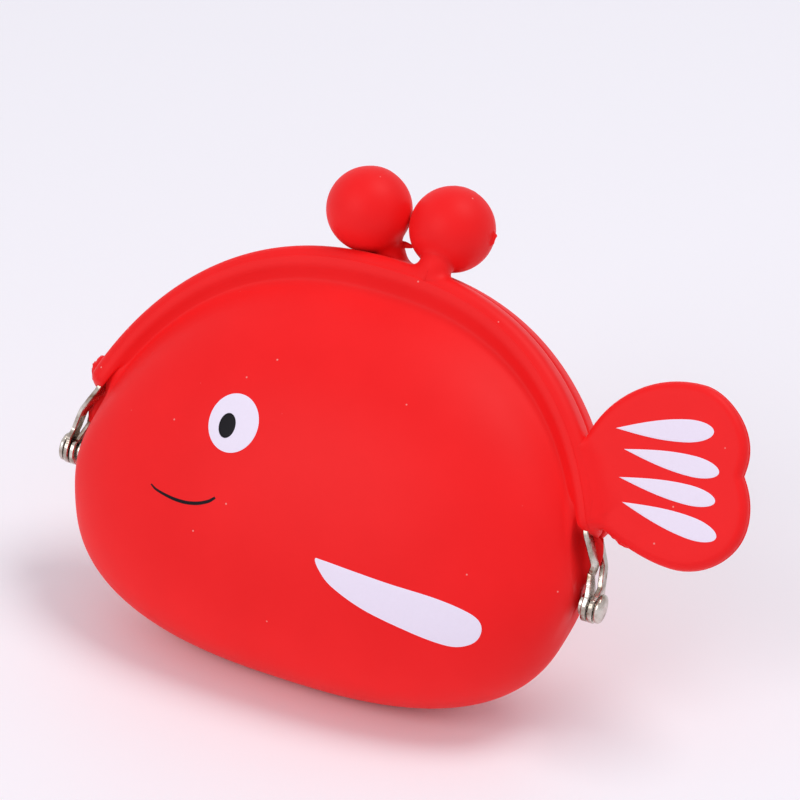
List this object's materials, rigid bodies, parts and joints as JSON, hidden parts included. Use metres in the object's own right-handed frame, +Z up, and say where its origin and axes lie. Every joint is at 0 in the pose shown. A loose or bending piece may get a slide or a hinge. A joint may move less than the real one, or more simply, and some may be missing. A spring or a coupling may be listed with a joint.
{
  "type": "silicone coin purse with kiss lock",
  "caption": "Fish-shaped moulded silicone coin purse with a sprung steel arch frame, ball kiss lock, riveted hinge and tail fin.",
  "frame": {"origin": "centre of the small flat under the belly that the purse stands on", "axes": "+Z up, +X along the hinge line towards the tail, -Y towards the side with the printed face; the arches lean back 28 degrees from +Z towards +Y"},
  "size_m": [0.1278, 0.0564, 0.0836],
  "materials": {
    "red_silicone": "moulded silicone rubber, satin matte, saturated red, with a pad-printed face on the front",
    "nickel_plated_steel": "stamped spring steel with dull nickel plating and rough sheared edges"
  },
  "bodies": {
    "front_half": {"pouch_belly": "red_silicone", "pouch_rear_wall": "red_silicone", "front_rim_sleeve": "red_silicone", "front_ball_cover": "red_silicone", "front_steel_arch": "nickel_plated_steel", "front_knob_post": "nickel_plated_steel", "tail_fin": "red_silicone", "hinge_rivet_right": "nickel_plated_steel", "hinge_rivet_left": "nickel_plated_steel"},
    "rear_half": {"rear_rim_sleeve": "red_silicone", "rear_ball_cover": "red_silicone", "rear_steel_arch": "nickel_plated_steel", "rear_knob_post": "nickel_plated_steel"}
  },
  "joints": [
    {"name": "mouth_opening", "type": "hinge", "parent": "front_half", "child": "rear_half", "pos_m": [0, 0.00569, 0.02612], "axis": [-1, 0, 0], "range_deg": [0, 70], "deforming": ["pouch_rear_wall"]}
  ]
}
